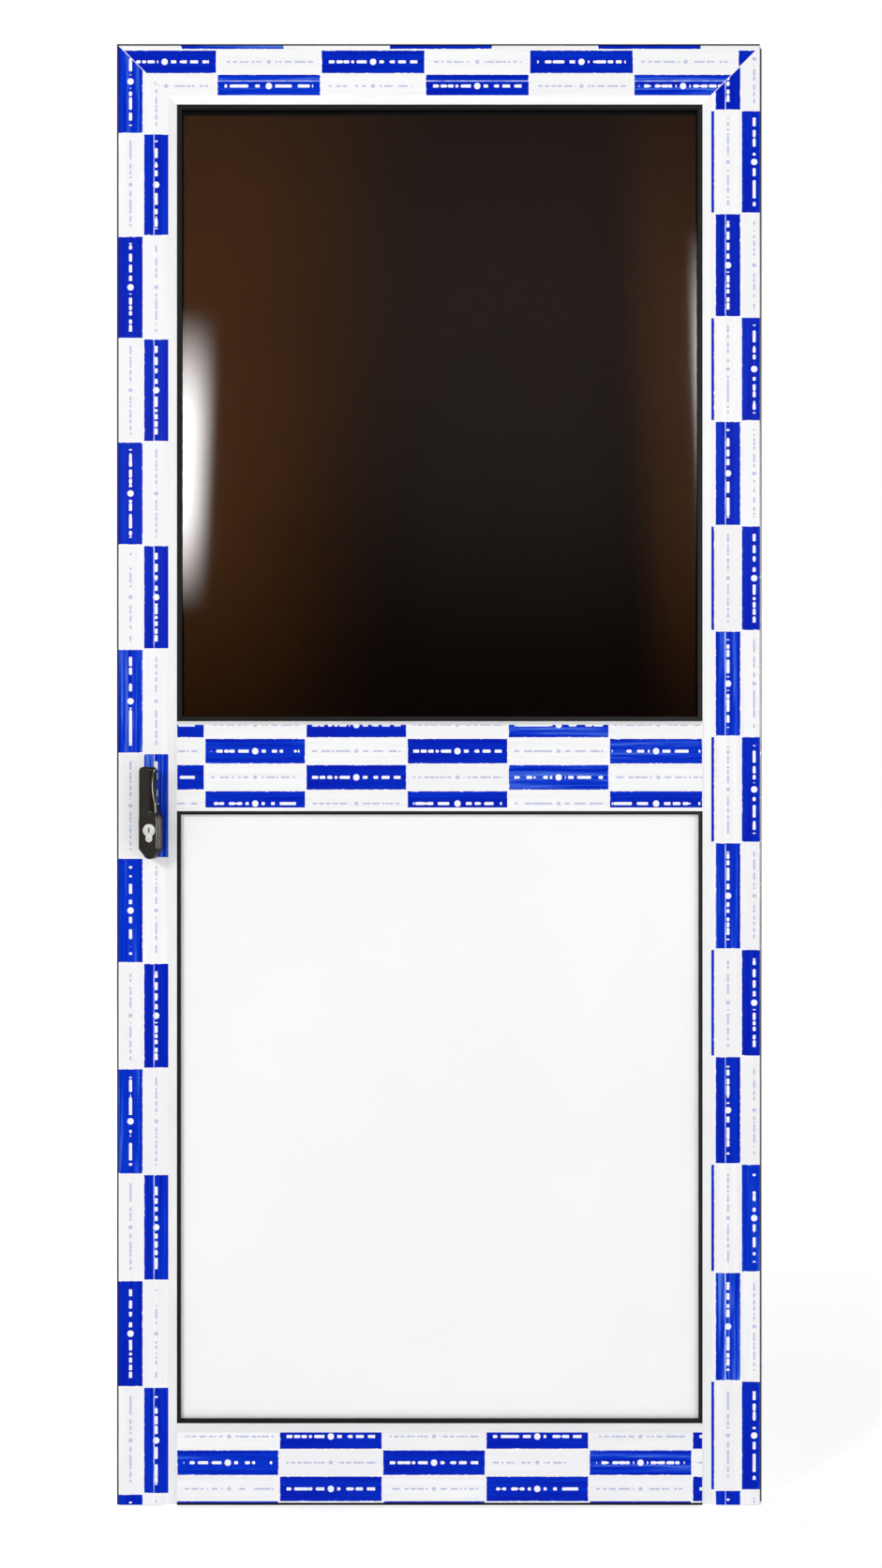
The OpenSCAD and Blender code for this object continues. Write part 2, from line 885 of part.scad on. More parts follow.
// Outline of the boss round the key, tapered to a chin below and drawn in by an inset
module boss_outline(inset) {
    r = pull_w / 2 - inset;
    chin = chin_r - inset;
    chin_z = chin_r - boss_drop;
    crown_z = boss_h - boss_drop - pull_w / 2;
    translate([0, crown_z]) circle(r, $fn = 48);
    translate([0, chin_z]) circle(chin, $fn = 48);
    translate([-r, -shoulder_drop]) square([2 * r, crown_z + shoulder_drop]);
    polygon([[-r, -shoulder_drop], [r, -shoulder_drop], [chin, chin_z], [-chin, chin_z]]);
}

// Outline of the grip, drawn in by an inset
module grip_outline(inset) {
    corner = grip_corner - inset / 2;
    foot = boss_h - boss_drop - pull_w / 2;
    top = boss_h - boss_drop + grip_h - inset;
    left = grip_set + inset - pull_w / 2;
    right = grip_w - pull_w / 2 - inset;
    for (p = [left + corner, right - corner])
        translate([p, top - corner]) circle(corner, $fn = 32);
    translate([left + corner, foot]) square([right - left - 2 * corner, top - foot]);
    translate([left, foot]) square([right - left, top - foot - corner]);
}

// A slab that narrows a little and rounds off towards its front face
module soft_slab(back, front) {
    hull() {
        slab(back - slice_t, slice_t) children(0);
        slab(front + pull_round, slice_t) children(1);
        slab(front + pull_round * round_shares[0], slice_t) children(2);
        slab(front, slice_t) children(3);
    }
}

// Cast pull: boss, grip cut away behind for the fingers, raised pad and cylinder hole
module pull(back) {
    scoop_half = grip_h * scoop_share;
    scoop_r = (scoop_half * scoop_half + scoop_d * scoop_d) / (2 * scoop_d);
    grip_low = boss_h - boss_drop;
    translate([lock_x, 0, lock_z])
        difference() {
            union() {
                soft_slab(back, pull_front) {
                    boss_outline(0);
                    boss_outline(pull_draft);
                    boss_outline(pull_draft + pull_round * round_shares[1]);
                    boss_outline(pull_draft + pull_round * round_shares[2]);
                }
                difference() {
                    soft_slab(back, pull_front) {
                        grip_outline(0);
                        grip_outline(0);
                        grip_outline(pull_round * round_shares[1]);
                        grip_outline(pull_round * round_shares[2]);
                    }
                    translate([-pull_w, back - finger_gap, grip_low + finger_gap / 2])
                        cube([2 * pull_w, finger_gap + overrun, grip_h]);
                    translate([-pull_w, back - finger_gap / 2, grip_low + finger_gap / 2])
                        rotate([0, 90, 0])
                            cylinder(d = finger_gap, h = 2 * pull_w);
                    translate([grip_w - pull_w / 2 - scoop_d, pull_front, grip_low + scoop_half])
                        rotate([90, 0, -scoop_lean])
                            translate([scoop_r, 0, -pull_d])
                                cylinder(r = scoop_r, h = 2 * pull_d, $fn = 128);
                }
                slab(pull_front - pad_t, pad_t + overrun)
                    boss_outline(pull_draft + pull_round + pad_inset);
            }
            slab(pull_front - leaf_d, 2 * leaf_d) cylinder_outline(fit_clear);
        }
}

module outer_pull() {
    color(black_metal) pull(film_front);
}

module inner_pull() {
    color(black_metal) mirror([0, 1, 0]) pull(leaf_front);
}

// Bands of the printed check across a film, the first one cut to its own width
function bands(first, total, w) = [
    for (i = [0 : ceil((total - first - block_gap) / (w + block_gap))])
        let (low = i == 0 ? 0 : first + block_gap + (i - 1) * (w + block_gap))
            [low, min(total, i == 0 ? first : low + w)]
];

// Place of a mark along a film that is drawn a little tighter towards its ends
function mark(start, pitch, ease, k) = start + pitch * k + ease * k * (film_marks - k);

// Printed blocks of a check: along the film, and across it in bands
module check(rows, start, pitch, ease, phase, upright) {
    for (b = [0 : len(rows) - 1], k = [-2 : ceil(door_h / pitch)])
        if (abs(k + b + phase) % 2 == 0) {
            a0 = mark(start, pitch, ease, k) + block_gap / 2;
            a1 = mark(start, pitch, ease, k + 1) - block_gap / 2;
            across = rows[b][1] - rows[b][0];
            translate(upright ? [rows[b][0] - leaf_x, a0] : [a0, rows[b][0]])
                square(upright ? [across, a1 - a0] : [a1 - a0, across]);
        }
}

// White film on a stile, following its mitre, from an edge set in from the lip's corner
module stile_film_outline(w, edge) {
    polygon([
        [edge - leaf_x, stile_floor_gap], [edge - leaf_x, leaf_top - edge],
        [w - leaf_x, leaf_top - w], [w - leaf_x, stile_floor_gap]
    ]);
}

module top_film_outline() {
    hinge_edge = lip_round + hinge_trim;
    polygon([
        [lip_round - leaf_x, leaf_top - lip_round], [leaf_x - hinge_edge, leaf_top - lip_round],
        [leaf_x - hinge_edge, leaf_top - hinge_edge], [leaf_x - film_w, leaf_top - film_w],
        [film_w - leaf_x, leaf_top - film_w]
    ]);
}

module rail_film_outline(low, high) {
    translate([rail_film_end - flange_x, low])
        square([2 * (flange_x - rail_film_end), high - low]);
}

module mid_film_outline() {
    rail_film_outline(mid_low + mid_bevel_w, mid_high - mid_bevel_w);
}

module bottom_film_outline() {
    rail_film_outline(rail_floor_gap, bottom_high - bevel_w);
}

module white_sheet() {
    color(film_white) slab(leaf_front - film_t, film_t) children();
}

module blue_print() {
    color(film_blue)
        slab(film_front, print_t)
            intersection() {
                children(0);
                children(1);
            }
}

// Bands counted down from a rail's upper film edge
module hung_check(high, first, total, w, start, pitch, phase) {
    translate([0, high])
        mirror([0, 1])
            check(bands(first, total, w), start, pitch, 0, phase, false);
}

// Hole in the lock stile's film for the cylinder
module film_cut() {
    difference() {
        children();
        cylinder_prism(film_front - overrun, leaf_front - film_front + 2 * overrun, fit_clear);
    }
}

module lock_stile_film() {
    film_cut() white_sheet() stile_film_outline(film_w, lip_round);
}

module hinge_stile_film() {
    mirror([1, 0, 0]) white_sheet() stile_film_outline(hinge_film_w, lip_round + hinge_trim);
}

module top_rail_film() {
    white_sheet() top_film_outline();
}

module middle_rail_film() {
    white_sheet() mid_film_outline();
}

module bottom_rail_film() {
    white_sheet() bottom_film_outline();
}

module lock_stile_print() {
    film_cut()
        blue_print() {
            stile_film_outline(film_w, lip_round);
            check(bands(lock_first, film_w, block_w), lock_mark, lock_block_l, lock_ease, 1, true);
        }
}

module hinge_stile_print() {
    mirror([1, 0, 0])
        blue_print() {
            stile_film_outline(hinge_film_w, lip_round + hinge_trim);
            check(bands(hinge_first, hinge_film_w, block_w),
                  hinge_mark, hinge_block_l, hinge_ease, 0, true);
        }
}

// The top rail's uppermost band belongs to a strip of its own, so its blocks are shifted
module top_rail_print() {
    rows = bands(top_first, film_w, top_block_w);
    blue_print() {
        top_film_outline();
        translate([0, leaf_top])
            mirror([0, 1]) {
                check([rows[0]], top_edge_mark, top_block_l, 0, 0, false);
                check([rows[1], rows[2]], top_mark, top_block_l, 0, 1, false);
            }
    }
}

module middle_rail_print() {
    blue_print() {
        mid_film_outline();
        hung_check(mid_high - mid_bevel_w, mid_first, mid_rail_w - 2 * mid_bevel_w, block_w,
                   mid_mark, mid_block_l, 1);
    }
}

module bottom_rail_print() {
    blue_print() {
        bottom_film_outline();
        hung_check(bottom_high - bevel_w, bottom_first, bottom_rail_w - bevel_w, block_w,
                   bottom_mark, bottom_block_l, 0);
    }
}

lock_jamb();
hinge_jamb();
frame_head();
threshold();
frame_cleat_lock();
frame_cleat_hinge();
stop_gasket();
strike_plate();
hinge_frame_wing();
hinge_pin();
lock_stile();
hinge_stile();
top_rail();
middle_rail();
bottom_rail();
leaf_cleat_lock();
leaf_cleat_hinge();
lip_gasket();
bottom_sweep();
hinge_leaf_wing();
outer_pane();
spacer_bar();
inner_pane();
infill_panel();
setting_blocks();
glass_front_gasket();
glass_back_gasket();
panel_front_gasket();
panel_back_gasket();
glass_bead_left();
glass_bead_right();
glass_bead_top();
glass_bead_bottom();
panel_bead_left();
panel_bead_right();
panel_bead_top();
panel_bead_bottom();
lock_case();
lock_faceplate();
dead_bolt();
cylinder_body();
outer_plug();
inner_plug();
cam();
outer_pull();
inner_pull();
lock_stile_film();
hinge_stile_film();
top_rail_film();
middle_rail_film();
bottom_rail_film();
lock_stile_print();
hinge_stile_print();
top_rail_print();
middle_rail_print();
bottom_rail_print();
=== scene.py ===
import json
import math
import random

import bmesh
import bpy
from mathutils import Matrix, Vector, noise


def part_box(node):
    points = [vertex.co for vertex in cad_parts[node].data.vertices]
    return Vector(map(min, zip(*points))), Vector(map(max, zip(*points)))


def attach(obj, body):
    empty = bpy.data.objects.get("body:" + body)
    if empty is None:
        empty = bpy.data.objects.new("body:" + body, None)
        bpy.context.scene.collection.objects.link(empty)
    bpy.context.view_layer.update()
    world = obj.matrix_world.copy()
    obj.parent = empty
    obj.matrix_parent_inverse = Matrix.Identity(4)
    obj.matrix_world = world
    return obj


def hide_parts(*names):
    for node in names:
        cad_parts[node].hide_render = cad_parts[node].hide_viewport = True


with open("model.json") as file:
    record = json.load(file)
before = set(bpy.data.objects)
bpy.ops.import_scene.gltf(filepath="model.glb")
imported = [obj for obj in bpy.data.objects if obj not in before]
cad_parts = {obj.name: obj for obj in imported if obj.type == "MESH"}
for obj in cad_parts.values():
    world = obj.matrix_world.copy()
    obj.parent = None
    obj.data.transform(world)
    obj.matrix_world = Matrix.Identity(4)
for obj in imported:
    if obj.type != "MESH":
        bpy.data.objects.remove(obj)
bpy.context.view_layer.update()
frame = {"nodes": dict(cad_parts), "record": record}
nodes = frame["nodes"]
scene = bpy.context.scene
mm = 0.001
weld = 0.001 * mm  # points closer than this are one
print("frame loaded with", len(nodes), "nodes")


# small helpers for nodes and meshes

def addNode(tree, kind, values=None, **settings):
    made = tree.nodes.new(kind)
    for name, value in settings.items():
        setattr(made, name, value)
    for name, value in (values or {}).items():
        made.inputs[name].default_value = value
    return made


def wire(tree, source, output, target, socket):
    tree.links.new(source.outputs[output], target.inputs[socket])


def startMaterial(name, color, rough, metal=0.0, gloss=0.5):
    material = bpy.data.materials.new(name)
    material.use_nodes = True
    tree = material.node_tree
    shader = tree.nodes["Principled BSDF"]
    shader.inputs["Base Color"].default_value = (*color, 1.0)
    shader.inputs["Roughness"].default_value = rough
    shader.inputs["Metallic"].default_value = metal
    shader.inputs["Specular IOR Level"].default_value = gloss
    return material, tree, shader


def objectPlace(tree, stretch=(1.0, 1.0, 1.0)):  # object coordinates, squeezed along some axes
    coords = addNode(tree, "ShaderNodeTexCoord")
    mapping = addNode(tree, "ShaderNodeMapping", {"Scale": stretch})
    wire(tree, coords, "Object", mapping, "Vector")
    return mapping


def noiseAt(tree, place, scale, detail=3.0, rough=0.5):
    made = addNode(tree, "ShaderNodeTexNoise", {"Scale": scale, "Detail": detail, "Roughness": rough})
    wire(tree, place, "Vector", made, "Vector")
    return made


def ramp(tree, source, output, stops):  # stops are (position, colour)
    made = addNode(tree, "ShaderNodeValToRGB")
    bar = made.color_ramp.elements
    while len(bar) < len(stops):
        bar.new(0.5)
    for element, (position, color) in zip(bar, stops):
        element.position = position
        element.color = (*color, 1.0)
    wire(tree, source, output, made, "Fac")
    return made


def grey(level):
    return (level, level, level)


def tintBy(tree, shader, source, dark, light, low=0.3, high=0.7):  # colour that follows a noise
    tint = ramp(tree, source, "Fac", [(low, dark), (high, light)])
    wire(tree, tint, "Color", shader, "Base Color")


def roughen(tree, shader, source, low, high):  # roughness that follows a noise
    spread = addNode(tree, "ShaderNodeMapRange", {"To Min": low, "To Max": high})
    wire(tree, source, "Fac", spread, "Value")
    wire(tree, spread, "Result", shader, "Roughness")
    return spread


def bump(tree, shader, source, strength, depth):
    made = addNode(tree, "ShaderNodeBump", {"Strength": strength, "Distance": depth})
    wire(tree, source, "Fac", made, "Height")
    wire(tree, made, "Normal", shader, "Normal")


def addPiece(name, bm, materials, smooth=False):
    mesh = bpy.data.meshes.new(name)
    bm.to_mesh(mesh)
    bm.free()
    for face in mesh.polygons:
        face.use_smooth = smooth
    for material in materials:
        mesh.materials.append(material)
    piece = bpy.data.objects.new(name, mesh)
    scene.collection.objects.link(piece)
    return piece


# finishes

coatingLook = {  # white powder coating with its fine orange peel
    "dark": (0.775, 0.775, 0.785), "light": (0.815, 0.815, 0.815), "smooth": 0.36, "rough": 0.5,
    "patch": 6.0, "patchDetail": 4.0, "grain": 900.0, "strength": 0.12, "depth": 0.1 * mm,
}
panelLook = {  # smooth skin of the infill panel
    "dark": (0.85, 0.85, 0.855), "light": (0.88, 0.88, 0.88), "smooth": 0.3, "rough": 0.42,
    "patch": 3.0, "patchDetail": 3.0, "grain": 1600.0, "strength": 0.05, "depth": 0.05 * mm,
}
hingeLook = {"dark": grey(0.006), "light": grey(0.015), "smooth": 0.35, "rough": 0.5, "gloss": 0.3}
pullLook = {
    "dark": (0.0075, 0.005, 0.0036), "light": (0.0125, 0.009, 0.0065), "smooth": 0.34, "rough": 0.44,
    "gloss": 0.17, "polish": 0.13,  # polish is the roughness where hands have rubbed it
}


def makeSkin(name, look):  # coated sheet with broad patches and a fine grain
    material, tree, shader = startMaterial(name, look["light"], look["rough"])
    place = objectPlace(tree)
    patch = noiseAt(tree, place, look["patch"], look["patchDetail"])
    tintBy(tree, shader, patch, look["dark"], look["light"])
    roughen(tree, shader, patch, look["smooth"], look["rough"])
    bump(tree, shader, noiseAt(tree, place, look["grain"], 2.0), look["strength"], look["depth"])
    return material


def makeRubber():
    look = {"dark": grey(0.003), "light": grey(0.008), "smooth": 0.5, "rough": 0.72, "gloss": 0.1,
            "grain": 700.0, "strength": 0.2, "depth": 0.1 * mm}
    material, tree, shader = startMaterial("sealRubber", look["light"], look["rough"], gloss=look["gloss"])
    grain = noiseAt(tree, objectPlace(tree), look["grain"], 4.0)
    tintBy(tree, shader, grain, look["dark"], look["light"], 0.35, 0.75)
    roughen(tree, shader, grain, look["smooth"], look["rough"])
    bump(tree, shader, grain, look["strength"], look["depth"])
    return material


def makeBlackPaint(name, look):  # satin black on a casting or on rolled steel
    paint = {"patch": 40.0, "grain": 1100.0, "strength": 0.15, "depth": 0.08 * mm}
    material, tree, shader = startMaterial(name, look["dark"], look["smooth"], gloss=look["gloss"])
    place = objectPlace(tree)
    patch = noiseAt(tree, place, paint["patch"], 5.0, 0.6)
    tintBy(tree, shader, patch, look["dark"], look["light"], 0.35)
    satin = roughen(tree, shader, patch, look["smooth"], look["rough"])
    if "polish" in look:
        worn = addNode(tree, "ShaderNodeAttribute", attribute_name="worn")
        rubbed = addNode(tree, "ShaderNodeMapRange", {"To Max": look["polish"]})
        wire(tree, worn, "Fac", rubbed, "Value")
        wire(tree, satin, "Result", rubbed, "To Min")
        wire(tree, rubbed, "Result", shader, "Roughness")
    bump(tree, shader, noiseAt(tree, place, paint["grain"]), paint["strength"], paint["depth"])
    return material


def makeMetal(name, dark, light, rough, stretch):  # metal with a drawn or brushed grain
    look = {"grain": 260.0, "smoother": 0.08, "rougher": 0.1, "strength": 0.12, "depth": 0.05 * mm}
    material, tree, shader = startMaterial(name, dark, rough, 1.0)
    grain = noiseAt(tree, objectPlace(tree, stretch), look["grain"], 4.0)
    tintBy(tree, shader, grain, dark, light)
    roughen(tree, shader, grain, rough - look["smoother"], rough + look["rougher"])
    bump(tree, shader, grain, look["strength"], look["depth"])
    return material


def makeGlass(name, color, rough, gloss):
    look = {"ior": 1.5, "haze": 5.0, "darker": 0.93}
    material, tree, shader = startMaterial(name, color, rough)
    shader.inputs["Transmission Weight"].default_value = 1.0
    shader.inputs["IOR"].default_value = look["ior"]
    shader.inputs["Specular Tint"].default_value = (*grey(gloss), 1.0)
    haze = noiseAt(tree, objectPlace(tree), look["haze"])
    tintBy(tree, shader, haze, tuple(c * look["darker"] for c in color), color)
    roughen(tree, shader, haze, rough * 0.5, rough * 1.5)
    return material


def makePlastic():
    look = {"dark": grey(0.006), "light": grey(0.016), "rough": 0.55, "gloss": 0.15,
            "grain": 500.0, "strength": 0.15, "depth": 0.1 * mm}
    material, tree, shader = startMaterial("blockPlastic", look["dark"], look["rough"], gloss=look["gloss"])
    grain = noiseAt(tree, objectPlace(tree), look["grain"])
    tintBy(tree, shader, grain, look["dark"], look["light"])
    bump(tree, shader, grain, look["strength"], look["depth"])
    return material


finish = {
    "coating": makeSkin("whiteCoating", coatingLook),
    "panel": makeSkin("panelSkin", panelLook),
    "rubber": makeRubber(),
    "hinge": makeBlackPaint("hingeBlack", hingeLook),
    "pull": makeBlackPaint("pullBlack", pullLook),
    "mill": makeMetal("millAluminium", (0.62, 0.63, 0.64), (0.75, 0.76, 0.77), 0.38, (0.05, 1.0, 1.0)),
    "zinc": makeMetal("zincSteel", (0.5, 0.5, 0.51), (0.68, 0.68, 0.69), 0.34, (1.0, 1.0, 0.06)),
    "nickel": makeMetal("satinNickel", (0.66, 0.65, 0.63), (0.82, 0.81, 0.79), 0.26, (1.0, 1.0, 0.3)),
    "bronze": makeGlass("bronzeGlass", (0.036, 0.0115, 0.002), 0.03, 0.5),
    "clear": makeGlass("clearGlass", (0.93, 0.97, 0.95), 0.01, 0.8),
    "plastic": makePlastic(),
}
finishOfSlot = {
    "white_coating": "coating", "mill_aluminium": "mill", "black_seal": "rubber", "black_hinge": "hinge",
    "black_pull": "pull", "steel": "zinc", "nickel": "nickel", "bronze_glass": "bronze",
    "clear_glass": "clear", "white_panel": "panel", "block_plastic": "plastic",
}
for part in frame["record"]["subparts"]:
    if part["material_slot"] in finishOfSlot:
        carried = nodes[part["node"]]
        carried.data.materials.clear()
        carried.data.materials.append(finish[finishOfSlot[part["material_slot"]]])
print("finishes set on the CAD nodes")


# protective film: one thin rippled sheet for each profile, printed in blocks

wrap = {
    "cell": 5 * mm,  # grid of the sheet
    "thick": 0.08 * mm,
    "lift": 0.03 * mm,  # clearance above the profile's face
    "ripple": 0.2 * mm,  # highest wrinkle
    "rippleAcross": 38.0,
    "rippleAlong": 7.0,
    "calmEdge": 6 * mm,  # wrinkles die out over this
    "line": 0.6 * mm,  # half width of the fine line along the profile
    "lineFromEdge": 50 * mm,  # counted from the lip's edge
    "mitreGap": 0.5 * mm,  # where the film was slit along a mitre
    "gap": 2.5 * mm,  # white between two blocks
    "sliver": 2.6 * mm,  # what shows of the row that the bottom edge cuts off
    "lipRound": 1.5 * mm,
    "foldAngle": math.radians(62),  # how far the film follows the lip's rounding
    "foldSteps": 4,
    "rimWithin": 0.01 * mm,  # edges this close to the outermost are the rim
    "sharp": math.radians(40),  # edges bent further than this stay crisp
    "rowStep": 4 * mm,  # blocks whose middles are within rowReach steps are one row
    "rowReach": 3,
    "edgeInset": 0.05 * mm,  # the folded edge is printed as the film this far in
    "atEdge": 2 * mm,  # a row this close to the film's edge is trimmed there
    "cutShort": 0.9,  # a block below this share of the usual length is cut off
    "seed": 11,
}
mark = {
    "dot": 4.5 * mm,
    "halfHeight": 2.15 * mm,
    "start": 9 * mm,
    "end": 62 * mm,
    "dashes": 130.0,
    "breaks": 0.43,  # higher leaves more gaps between the dashes
    "endRound": 16.0,  # higher is squarer
    "ragged": 0.8 * mm,  # deepest nick in a block's edge
    "nicks": 190.0,
    "nickReach": 0.2,  # how far the noise usually rises above its middle
}
streaks = {  # drawn out along the film, and stronger on some blocks: lighter bands are partly haze where the film lifts and partly painted sheen, and on the white film the grey bands are painted shade of folds
    "along": 5.0, "across": 150.0, "shift": 7.0,
    "low": 0.32, "high": 0.68, "gain": 0.75, "least": 0.3,
}
filmSkin = {
    "gloss": 0.03, "smoother": 0.06, "rougher": 0.08,
    "grain": 220.0, "strength": 0.1, "depth": 0.2 * mm,
}
blueFilm = {
    "deep": (0.0, 0.009, 0.39), "mid": (0.0, 0.031, 0.55), "pale": (0.08, 0.19, 0.7), "rough": 0.32,
    "marks": (0.88, 0.89, 0.95), "markStrength": 0.96, "markSize": 1.0, "ragged": True,
}
whiteFilm = {
    "deep": (0.82, 0.82, 0.828), "mid": (0.865, 0.865, 0.868), "pale": (0.89, 0.89, 0.893), "rough": 0.34,
    "marks": (0.24, 0.29, 0.6), "markStrength": 0.6, "markSize": 0.6, "ragged": False,
}
lineFilm = {"deep": (0.2, 0.28, 0.75), "pale": (0.7, 0.74, 0.9), "rough": 0.3, "patch": 60.0}


def makeFilm(name, look):
    material, tree, shader = startMaterial(name, look["deep"], look["rough"], gloss=filmSkin["gloss"])
    block = addNode(tree, "ShaderNodeUVMap", uv_map="block")  # metres from the block's centre
    split = addNode(tree, "ShaderNodeSeparateXYZ")
    wire(tree, block, "UV", split, "Vector")
    tone = (addNode(tree, "ShaderNodeAttribute", attribute_name="tone"), "Fac")
    size = look["markSize"]

    def maths(operation, a, b=0.0, clamp=False):  # a maths node on sockets or plain numbers
        made = addNode(tree, "ShaderNodeMath", operation=operation, use_clamp=clamp)
        for index, value in enumerate((a, b)):
            if isinstance(value, tuple):
                wire(tree, *value, made, index)
            else:
                made.inputs[index].default_value = value
        return (made, "Value")

    along = (split, "X")
    across = (split, "Y")
    shift = maths("MULTIPLY", tone, streaks["shift"])
    place = addNode(tree, "ShaderNodeCombineXYZ")
    wire(tree, *maths("MULTIPLY", along, streaks["along"]), place, "X")
    wire(tree, *maths("MULTIPLY", across, streaks["across"]), place, "Y")
    wire(tree, *shift, place, "Z")
    band = addNode(tree, "ShaderNodeMapRange", {"From Min": streaks["low"], "From Max": streaks["high"]})
    wire(tree, noiseAt(tree, place, 1.0, 4.0, 0.6), "Fac", band, "Value")
    gain = maths("ADD", maths("MULTIPLY", tone, streaks["gain"]), streaks["least"])
    hazeAndSheen = maths("MULTIPLY", (band, "Result"), gain, True)
    # deep to pale bands: partly the film's haze where it lifts, partly painted sheen; on the white film the
    # deep end is painted fold shade
    color = ramp(tree, *hazeAndSheen, [(0.05, look["deep"]), (0.5, look["mid"]), (0.95, look["pale"])])

    # plain dot in the middle and a row of plain dashes on each side of it
    length = maths("ABSOLUTE", along)
    height = maths("ABSOLUTE", across)
    reach = maths("SQRT", maths("ADD", maths("POWER", along, 2.0), maths("POWER", across, 2.0)))
    dot = maths("LESS_THAN", reach, mark["dot"] * size)
    dashPlace = addNode(tree, "ShaderNodeCombineXYZ")
    wire(tree, *maths("MULTIPLY", along, mark["dashes"] / size), dashPlace, "X")
    wire(tree, *shift, dashPlace, "Y")
    dashNoise = noiseAt(tree, dashPlace, 1.0, 0.0)
    rise = maths("MULTIPLY", maths("SUBTRACT", (dashNoise, "Fac"), mark["breaks"]), mark["endRound"], True)
    bar = maths("LESS_THAN", height, maths("MULTIPLY", maths("SQRT", rise), mark["halfHeight"] * size))
    span = maths("MULTIPLY", maths("GREATER_THAN", length, mark["start"]),
                 maths("LESS_THAN", length, mark["end"]))
    dashes = maths("MULTIPLY", bar, span)
    shown = maths("MULTIPLY", maths("MAXIMUM", dot, dashes), look["markStrength"])
    if look["ragged"]:  # print that broke away along the block's edges
        halfAlong = addNode(tree, "ShaderNodeAttribute", attribute_name="halfAlong")
        halfAcross = addNode(tree, "ShaderNodeAttribute", attribute_name="halfAcross")
        edge = maths("MINIMUM", maths("SUBTRACT", (halfAlong, "Fac"), length),
                     maths("SUBTRACT", (halfAcross, "Fac"), height))
        nick = noiseAt(tree, objectPlace(tree), mark["nicks"], 3.0, 0.6)
        bite = maths("SUBTRACT", (nick, "Fac"), 0.5, True)
        depth = maths("MULTIPLY", bite, mark["ragged"] / mark["nickReach"])
        shown = maths("MAXIMUM", shown, maths("LESS_THAN", edge, depth))
    mixed = addNode(tree, "ShaderNodeMix", {7: (*look["marks"], 1.0)}, data_type="RGBA")
    wire(tree, *shown, mixed, 0)  # socket 0 is the share, 6 and 7 are the two colours
    wire(tree, color, "Color", mixed, 6)
    wire(tree, mixed, 2, shader, "Base Color")

    fine = noiseAt(tree, objectPlace(tree), filmSkin["grain"])
    roughen(tree, shader, fine, look["rough"] - filmSkin["smoother"], look["rough"] + filmSkin["rougher"])
    bump(tree, shader, fine, filmSkin["strength"], filmSkin["depth"])
    return material


filmBlue = makeFilm("filmBlue", blueFilm)
filmWhite = makeFilm("filmWhite", whiteFilm)
filmLine, lineTree, lineShader = startMaterial("filmLine", lineFilm["pale"], lineFilm["rough"])
lineNoise = noiseAt(lineTree, objectPlace(lineTree), lineFilm["patch"])
tintBy(lineTree, lineShader, lineNoise, lineFilm["deep"], lineFilm["pale"], 0.35, 0.65)


def printedBlocks(node):  # boxes of the printed blocks, read from the CAD solids
    bm = bmesh.new()
    bm.from_mesh(nodes[node].data)
    bmesh.ops.remove_doubles(bm, verts=bm.verts, dist=weld)
    seen = set()
    boxes = []
    for first in bm.verts:
        if first in seen:
            continue
        seen.add(first)
        island = [first]
        for vert in island:
            for edge in vert.link_edges:
                other = edge.other_vert(vert)
                if other not in seen:
                    seen.add(other)
                    island.append(other)
        xs = [v.co.x for v in island]
        zs = [v.co.z for v in island]
        boxes.append((min(xs), max(xs), min(zs), max(zs)))
    bm.free()
    return boxes


def rowsOf(blocks, upright):  # blocks grouped into rows, as (low, high, [(start, end), ...])
    rows = {}
    for x0, x1, z0, z1 in blocks:
        low, high, start, end = (x0, x1, z0, z1) if upright else (z0, z1, x0, x1)
        key = round((low + high) / 2 / wrap["rowStep"])
        near = next((k for k in rows if abs(k - key) < wrap["rowReach"]), key)
        rows.setdefault(near, []).append((low, high, start, end))
    made = []
    for group in rows.values():
        low = min(g[0] for g in group)
        high = max(g[1] for g in group)
        made.append((low, high, sorted((g[2], g[3]) for g in group)))
    return made


def cut(bm, point, normal, clear=False):
    bmesh.ops.bisect_plane(bm, geom=bm.verts[:] + bm.edges[:] + bm.faces[:], dist=weld,
                           plane_co=point, plane_no=normal, clear_outer=clear)


def layGrid(low, high):  # flat sheet on the profile's front
    width = high.x - low.x
    tall = high.z - low.z
    bm = bmesh.new()
    bmesh.ops.create_grid(bm, x_segments=max(1, round(width / wrap["cell"])),
                          y_segments=max(1, round(tall / wrap["cell"])), size=0.5)
    middle = ((low.x + high.x) / 2, high.y - wrap["lift"], (low.z + high.z) / 2)
    bmesh.ops.transform(bm, verts=bm.verts, matrix=Matrix.Translation(middle)
                        @ Matrix.Rotation(math.pi / 2, 4, "X") @ Matrix.Diagonal((width, tall, 1.0, 1.0)))
    return bm


def foldRim(bm, outward):  # the outer edge is folded over the lip's rounding
    limit = max(v.co.dot(outward) for v in bm.verts)
    rim = [e for e in bm.edges if all(v.co.dot(outward) > limit - wrap["rimWithin"] for v in e.verts)]
    bend = wrap["lipRound"] + wrap["lift"]
    for step in range(wrap["foldSteps"]):
        before, after = (wrap["foldAngle"] * s / wrap["foldSteps"] for s in (step, step + 1))
        made = bmesh.ops.extrude_edge_only(bm, edges=rim)["geom"]
        folded = [g for g in made if isinstance(g, bmesh.types.BMVert)]
        move = outward * (bend * (math.sin(after) - math.sin(before)))
        move.y = bend * (math.cos(before) - math.cos(after))
        bmesh.ops.translate(bm, verts=folded, vec=move)
        rim = [g for g in made if isinstance(g, bmesh.types.BMEdge) and all(v in folded for v in g.verts)]


lipEdge = -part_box("lock_stile")[0].x
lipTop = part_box("top_rail")[1].z


